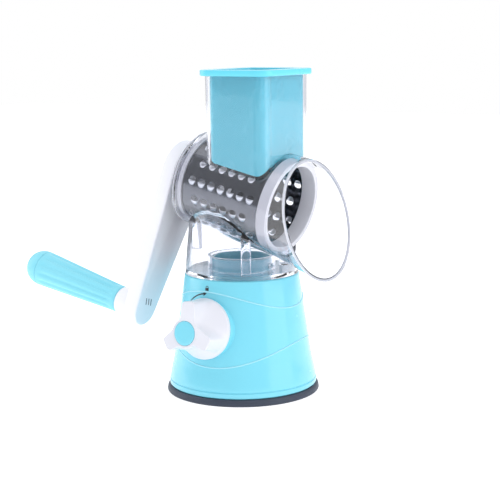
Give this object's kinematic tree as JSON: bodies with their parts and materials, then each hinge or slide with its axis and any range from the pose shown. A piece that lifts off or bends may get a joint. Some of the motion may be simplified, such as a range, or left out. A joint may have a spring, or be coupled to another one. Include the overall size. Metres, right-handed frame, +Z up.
{
  "type": "rotary cheese grater",
  "caption": "Hand-cranked rotary drum grater: suction base with a lever knob, clear housing with feed chute and outlet funnel, pusher, steel drum and crank.",
  "frame": {"origin": "centre of the suction cup's underside, on the table", "axes": "+Z up, +X towards the outlet mouth (the crank and grip are at -X), -Y the side with the knob"},
  "size_m": [0.2603, 0.1301, 0.24],
  "materials": {
    "rubber": "matt",
    "teal_plastic": "gloss",
    "white_plastic": "satin",
    "clear_plastic": "clear gloss",
    "grater_steel": "polished",
    "fastener_steel": "plain",
    "inner_plastic": "matt"
  },
  "bodies": {
    "base": {"suction_cup": "rubber", "base_housing": "teal_plastic", "floor_plate": "inner_plastic", "floor_screws": "fastener_steel", "stem_spring": "fastener_steel"},
    "stem": {"suction_stem": "inner_plastic"},
    "knob": {"knob": "white_plastic", "knob_insert": "teal_plastic", "knob_screw": "fastener_steel", "cam_spindle": "inner_plastic"},
    "housing": {"clear_housing": "clear_plastic", "shaft_bush": "white_plastic"},
    "crank": {"crank_arm": "white_plastic", "crank_screw": "fastener_steel", "crank_cap": "white_plastic", "drive_shaft": "white_plastic", "grip_pin": "fastener_steel"},
    "grip": {"grip": "teal_plastic", "grip_cap": "teal_plastic"},
    "drum": {"drum_sheet": "grater_steel", "drum_front_ring": "white_plastic", "drum_hub": "white_plastic"},
    "pusher": {"pusher": "teal_plastic"}
  },
  "joints": [
    {"name": "knob_turn", "type": "hinge", "parent": "base", "child": "knob", "pos_m": [0, 0, 0.0473], "axis": [0, 0.989, -0.1478], "range_deg": [0, 90]},
    {"name": "stem_lift", "type": "slide", "parent": "base", "child": "stem", "axis": [0, 0, 1], "range_m": [0, 0.00358], "deforming": ["stem_spring"]},
    {"name": "housing_twist", "type": "hinge", "parent": "base", "child": "housing", "pos_m": [0, 0, 0.0896], "axis": [0, 0, 1], "range_deg": [0, 25]},
    {"name": "crank_spin", "type": "hinge", "parent": "housing", "child": "crank", "pos_m": [-0.0379, 0, 0.15878], "axis": [0.9761, 0, -0.2175], "continuous": true},
    {"name": "grip_spin", "type": "hinge", "parent": "crank", "child": "grip", "pos_m": [-0.12403, -0.0315, 0.07107], "axis": [0.9761, 0, -0.2175], "continuous": true},
    {"name": "drum_slide", "type": "slide", "parent": "crank", "child": "drum", "axis": [0.9761, 0, -0.2175], "range_m": [0, 0.1]},
    {"name": "pusher_lift", "type": "slide", "parent": "housing", "child": "pusher", "axis": [0, 0, 1], "range_m": [0, 0.07]}
  ],
  "couplings": [
    {"joint": "knob_turn", "follows": "stem_lift", "rad_per_m": 439.3}
  ]
}
